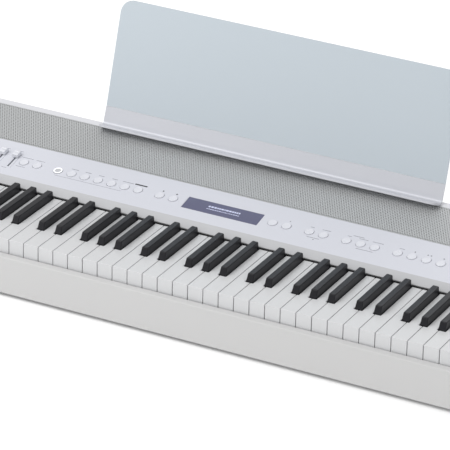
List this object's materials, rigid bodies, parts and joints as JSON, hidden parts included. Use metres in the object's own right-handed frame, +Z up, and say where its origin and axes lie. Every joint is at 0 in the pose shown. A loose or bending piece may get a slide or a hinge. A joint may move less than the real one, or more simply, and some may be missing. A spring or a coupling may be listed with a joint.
{
  "type": "stage piano",
  "caption": "Slim portable digital piano with a full keyboard, sloping control panel with display, full-width speaker grille and a lift-off music rest, on rubber feet.",
  "frame": {"origin": "under the middle of the whole object, on the surface that the feet stand on", "axes": "+X to the player's right along the keyboard, +Y to the back, +Z up"},
  "size_m": [1.291, 0.3922, 0.308],
  "materials": {
    "case_white": "satin white paint",
    "keyslip_white": "satin white paint",
    "panel_white": "satin white paint",
    "grille": "silver paint on perforated steel",
    "white_key": "satin",
    "black_key": "satin with fine lengthwise grain",
    "button": "satin",
    "lamp": "translucent, lit ring",
    "display": "gloss window over a violet liquid crystal",
    "music_rest": "satin silver",
    "rubber": "matte",
    "red_felt": "felt",
    "steel": "zinc plated",
    "black_plastic": "fine texture",
    "circuit_board": "satin",
    "speaker_cone": "matte"
  },
  "bodies": {
    "case": {"end_block_left": "case_white", "end_block_right": "case_white", "rear_cover": "case_white", "rear_panel": "case_white", "rear_panel_left": "case_white", "rear_bridge": "case_white", "keyslip": "keyslip_white", "control_panel": "panel_white", "speaker_grille": "grille", "display_window": "display", "foot_front_left": "rubber", "foot_front_right": "rubber", "foot_back_left": "rubber", "foot_back_right": "rubber", "key_stop_felt": "red_felt", "keybed_chassis": "steel", "pivot_rod": "steel", "balance_rail": "steel", "hammer_bank": "steel", "power_supply": "steel", "bottom_case": "black_plastic", "display_module": "black_plastic", "speaker_box_left": "black_plastic", "speaker_box_right": "black_plastic", "power_inlet": "black_plastic", "jack_block": "black_plastic", "usb_block": "black_plastic", "switch_board": "circuit_board", "main_board": "circuit_board", "woofer_left": "speaker_cone", "woofer_right": "speaker_cone"},
    "white_keys_low": {"white_keys_low": "white_key"},
    "white_keys_high": {"white_keys_high": "white_key"},
    "black_keys_low": {"black_keys_low": "black_key"},
    "black_keys_high": {"black_keys_high": "black_key"},
    "key_C_4": {"key_C_4": "white_key"},
    "key_C_sharp_4": {"key_C_sharp_4": "black_key"},
    "key_D_4": {"key_D_4": "white_key"},
    "key_D_sharp_4": {"key_D_sharp_4": "black_key"},
    "key_E_4": {"key_E_4": "white_key"},
    "key_F_4": {"key_F_4": "white_key"},
    "key_F_sharp_4": {"key_F_sharp_4": "black_key"},
    "key_G_4": {"key_G_4": "white_key"},
    "key_G_sharp_4": {"key_G_sharp_4": "black_key"},
    "key_A_4": {"key_A_4": "white_key"},
    "key_A_sharp_4": {"key_A_sharp_4": "black_key"},
    "key_B_4": {"key_B_4": "white_key"},
    "buttons_effect": {"buttons_effect": "button"},
    "button_piano_lit": {"button_piano_lit": "lamp"},
    "buttons_tone": {"buttons_tone": "button"},
    "buttons_select": {"buttons_select": "button"},
    "buttons_value": {"buttons_value": "button"},
    "buttons_split": {"buttons_split": "button"},
    "buttons_rhythm": {"buttons_rhythm": "button"},
    "buttons_song": {"buttons_song": "button"},
    "button_power": {"button_power": "button"},
    "slider_brilliance": {"slider_brilliance": "button"},
    "slider_ambience": {"slider_ambience": "button"},
    "slider_volume": {"slider_volume": "button"},
    "music_rest": {"music_rest": "music_rest"}
  },
  "joints": [
    {"name": "white_keys_low_press", "type": "hinge", "parent": "case", "child": "white_keys_low", "pos_m": [0, 0.04589, 0.069], "axis": [1, 0, 0], "range_deg": [0, 2.4], "stiffness_Nm_per_rad": 20, "springref_deg": -14.9},
    {"name": "white_keys_high_press", "type": "hinge", "parent": "case", "child": "white_keys_high", "pos_m": [0, 0.04589, 0.069], "axis": [1, 0, 0], "range_deg": [0, 2.4], "stiffness_Nm_per_rad": 19, "springref_deg": -14.9},
    {"name": "black_keys_low_press", "type": "hinge", "parent": "case", "child": "black_keys_low", "pos_m": [0, 0.04589, 0.069], "axis": [1, 0, 0], "range_deg": [0, 2.4], "stiffness_Nm_per_rad": 12, "springref_deg": -14.9},
    {"name": "black_keys_high_press", "type": "hinge", "parent": "case", "child": "black_keys_high", "pos_m": [0, 0.04589, 0.069], "axis": [1, 0, 0], "range_deg": [0, 2.4], "stiffness_Nm_per_rad": 11, "springref_deg": -14.9},
    {"name": "key_C_4_press", "type": "hinge", "parent": "case", "child": "key_C_4", "pos_m": [0, 0.04589, 0.069], "axis": [1, 0, 0], "range_deg": [0, 2.4], "stiffness_Nm_per_rad": 0.9, "springref_deg": -14.9},
    {"name": "key_C_sharp_4_press", "type": "hinge", "parent": "case", "child": "key_C_sharp_4", "pos_m": [0, 0.04589, 0.069], "axis": [1, 0, 0], "range_deg": [0, 2.4], "stiffness_Nm_per_rad": 0.75, "springref_deg": -14.9},
    {"name": "key_D_4_press", "type": "hinge", "parent": "case", "child": "key_D_4", "pos_m": [0, 0.04589, 0.069], "axis": [1, 0, 0], "range_deg": [0, 2.4], "stiffness_Nm_per_rad": 0.9, "springref_deg": -14.9},
    {"name": "key_D_sharp_4_press", "type": "hinge", "parent": "case", "child": "key_D_sharp_4", "pos_m": [0, 0.04589, 0.069], "axis": [1, 0, 0], "range_deg": [0, 2.4], "stiffness_Nm_per_rad": 0.75, "springref_deg": -14.9},
    {"name": "key_E_4_press", "type": "hinge", "parent": "case", "child": "key_E_4", "pos_m": [0, 0.04589, 0.069], "axis": [1, 0, 0], "range_deg": [0, 2.4], "stiffness_Nm_per_rad": 0.9, "springref_deg": -14.9},
    {"name": "key_F_4_press", "type": "hinge", "parent": "case", "child": "key_F_4", "pos_m": [0, 0.04589, 0.069], "axis": [1, 0, 0], "range_deg": [0, 2.4], "stiffness_Nm_per_rad": 0.9, "springref_deg": -14.9},
    {"name": "key_F_sharp_4_press", "type": "hinge", "parent": "case", "child": "key_F_sharp_4", "pos_m": [0, 0.04589, 0.069], "axis": [1, 0, 0], "range_deg": [0, 2.4], "stiffness_Nm_per_rad": 0.75, "springref_deg": -14.9},
    {"name": "key_G_4_press", "type": "hinge", "parent": "case", "child": "key_G_4", "pos_m": [0, 0.04589, 0.069], "axis": [1, 0, 0], "range_deg": [0, 2.4], "stiffness_Nm_per_rad": 0.9, "springref_deg": -14.9},
    {"name": "key_G_sharp_4_press", "type": "hinge", "parent": "case", "child": "key_G_sharp_4", "pos_m": [0, 0.04589, 0.069], "axis": [1, 0, 0], "range_deg": [0, 2.4], "stiffness_Nm_per_rad": 0.75, "springref_deg": -14.9},
    {"name": "key_A_4_press", "type": "hinge", "parent": "case", "child": "key_A_4", "pos_m": [0, 0.04589, 0.069], "axis": [1, 0, 0], "range_deg": [0, 2.4], "stiffness_Nm_per_rad": 0.9, "springref_deg": -14.9},
    {"name": "key_A_sharp_4_press", "type": "hinge", "parent": "case", "child": "key_A_sharp_4", "pos_m": [0, 0.04589, 0.069], "axis": [1, 0, 0], "range_deg": [0, 2.4], "stiffness_Nm_per_rad": 0.75, "springref_deg": -14.9},
    {"name": "key_B_4_press", "type": "hinge", "parent": "case", "child": "key_B_4", "pos_m": [0, 0.04589, 0.069], "axis": [1, 0, 0], "range_deg": [0, 2.4], "stiffness_Nm_per_rad": 0.9, "springref_deg": -14.9},
    {"name": "buttons_effect_press", "type": "slide", "parent": "case", "child": "buttons_effect", "axis": [0, 0.1994, -0.9799], "range_m": [0, 0.0008], "stiffness_N_per_m": 800, "springref_m": -0.001},
    {"name": "button_piano_lit_press", "type": "slide", "parent": "case", "child": "button_piano_lit", "axis": [0, 0.1994, -0.9799], "range_m": [0, 0.0008], "stiffness_N_per_m": 800, "springref_m": -0.001},
    {"name": "buttons_tone_press", "type": "slide", "parent": "case", "child": "buttons_tone", "axis": [0, 0.1994, -0.9799], "range_m": [0, 0.0008], "stiffness_N_per_m": 800, "springref_m": -0.001},
    {"name": "buttons_select_press", "type": "slide", "parent": "case", "child": "buttons_select", "axis": [0, 0.1994, -0.9799], "range_m": [0, 0.0008], "stiffness_N_per_m": 800, "springref_m": -0.001},
    {"name": "buttons_value_press", "type": "slide", "parent": "case", "child": "buttons_value", "axis": [0, 0.1994, -0.9799], "range_m": [0, 0.0008], "stiffness_N_per_m": 800, "springref_m": -0.001},
    {"name": "buttons_split_press", "type": "slide", "parent": "case", "child": "buttons_split", "axis": [0, 0.1994, -0.9799], "range_m": [0, 0.0008], "stiffness_N_per_m": 800, "springref_m": -0.001},
    {"name": "buttons_rhythm_press", "type": "slide", "parent": "case", "child": "buttons_rhythm", "axis": [0, 0.1994, -0.9799], "range_m": [0, 0.0008], "stiffness_N_per_m": 800, "springref_m": -0.001},
    {"name": "buttons_song_press", "type": "slide", "parent": "case", "child": "buttons_song", "axis": [0, 0.1994, -0.9799], "range_m": [0, 0.0008], "stiffness_N_per_m": 800, "springref_m": -0.001},
    {"name": "button_power_press", "type": "slide", "parent": "case", "child": "button_power", "axis": [0, 0.1994, -0.9799], "range_m": [0, 0.0008], "stiffness_N_per_m": 800, "springref_m": -0.001},
    {"name": "slider_brilliance_travel", "type": "slide", "parent": "case", "child": "slider_brilliance", "axis": [0, 0.9799, 0.1994], "range_m": [-0.024, 0]},
    {"name": "slider_ambience_travel", "type": "slide", "parent": "case", "child": "slider_ambience", "axis": [0, 0.9799, 0.1994], "range_m": [-0.024, 0]},
    {"name": "slider_volume_travel", "type": "slide", "parent": "case", "child": "slider_volume", "axis": [0, 0.9799, 0.1994], "range_m": [-0.024, 0]},
    {"name": "music_rest_lift", "type": "slide", "parent": "case", "child": "music_rest", "axis": [0, 0, 1], "range_m": [0, 0.03]}
  ]
}
